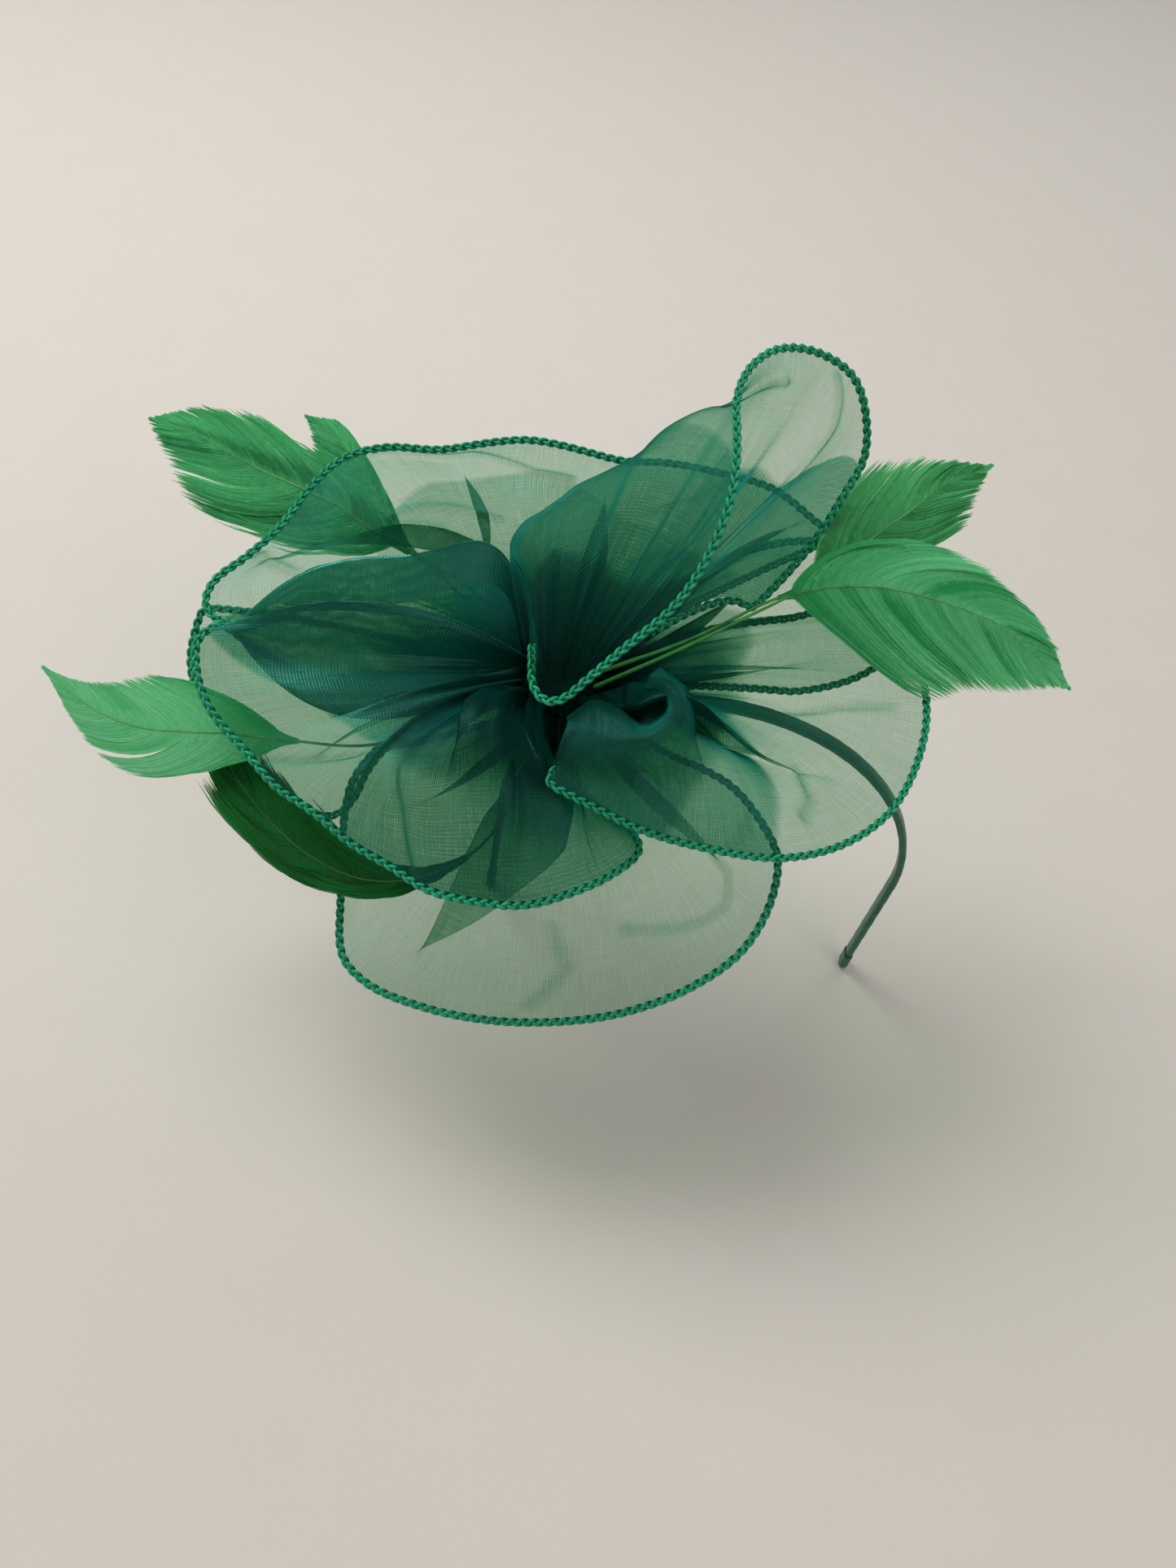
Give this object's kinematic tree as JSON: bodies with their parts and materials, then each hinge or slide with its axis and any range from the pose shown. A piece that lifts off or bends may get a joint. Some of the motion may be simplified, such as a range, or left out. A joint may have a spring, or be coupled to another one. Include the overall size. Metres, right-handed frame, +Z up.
{
  "type": "fascinator headpiece",
  "caption": "Green organza fascinator: gathered corded loops and feathers stitched to a pad on a slim satin-covered head band.",
  "frame": {"origin": "middle of the backing pad's lower face, where the piece rests on the head", "axes": "+Z up from the band tips to the crown of the head, +X towards the wearer's left, -Y towards the wearer's face"},
  "size_m": [0.3065, 0.1678, 0.2257],
  "materials": {
    "organza": "sheer woven, two-tone sheen",
    "edge_cord": "braided satin thread over wire",
    "satin": "satin ribbon",
    "felt": "matt felt",
    "thread": "sewing thread",
    "spring_core": "spring strip",
    "feather": "dyed feather barbs",
    "quill": "dyed feather shaft"
  },
  "bodies": {
    "crown": {"band_core_crown": "spring_core", "band_ribbon_crown": "satin", "base_pad": "felt", "backing_pad": "felt", "stitch_1": "thread", "stitch_2": "thread", "stitch_3": "thread", "stitch_4": "thread", "stitch_5": "thread", "stitch_6": "thread", "gather_stem": "thread", "gather_knot": "organza", "front_brim": "organza", "right_loop": "organza", "tall_loop": "organza", "left_loop": "organza", "back_brim": "organza", "left_under": "organza", "right_under": "organza", "front_brim_cord": "edge_cord", "right_loop_cord": "edge_cord", "tall_loop_cord": "edge_cord", "left_loop_cord": "edge_cord", "back_brim_cord": "edge_cord", "left_under_cord": "edge_cord", "right_under_cord": "edge_cord"},
    "right_arm": {"band_core_right": "spring_core", "band_ribbon_right": "satin", "band_tip_right": "satin"},
    "left_arm": {"band_core_left": "spring_core", "band_ribbon_left": "satin", "band_tip_left": "satin"},
    "right_spray": {"right_plume_quill": "quill", "right_plume_vane": "feather", "right_feather_quill": "quill", "right_feather_vane": "feather"},
    "back_spray": {"back_plume_quill": "quill", "back_plume_vane": "feather", "back_feather_quill": "quill", "back_feather_vane": "feather"},
    "left_feather": {"left_feather_quill": "quill", "left_feather_vane": "feather"},
    "front_feather": {"front_feather_quill": "quill", "front_feather_vane": "feather"}
  },
  "joints": [
    {"name": "right_arm_flex", "type": "hinge", "parent": "crown", "child": "right_arm", "pos_m": [-0.02203, 0, -0.02888], "axis": [0, 1, 0], "range_deg": [-6, 15]},
    {"name": "left_arm_flex", "type": "hinge", "parent": "crown", "child": "left_arm", "pos_m": [0.11706, 0, -0.02888], "axis": [0, -1, 0], "range_deg": [-6, 15]},
    {"name": "right_spray_sway", "type": "hinge", "parent": "crown", "child": "right_spray", "pos_m": [-0.00048, -0.0115, 0.03085], "axis": [0, -0.6252, 0.7804], "range_deg": [-4, 2]},
    {"name": "back_spray_sway", "type": "hinge", "parent": "crown", "child": "back_spray", "pos_m": [-0.02048, 0.001, 0.02164], "axis": [0, -0.6252, 0.7804], "range_deg": [-4, 4]},
    {"name": "left_feather_sway", "type": "hinge", "parent": "crown", "child": "left_feather", "pos_m": [-0.02048, -0.00759, 0.02117], "axis": [0, -0.6252, 0.7804], "range_deg": [-4, 4]},
    {"name": "front_feather_sway", "type": "hinge", "parent": "crown", "child": "front_feather", "pos_m": [-0.01248, -0.01321, 0.01539], "axis": [0, -0.6252, 0.7804], "range_deg": [-4, 4]}
  ]
}
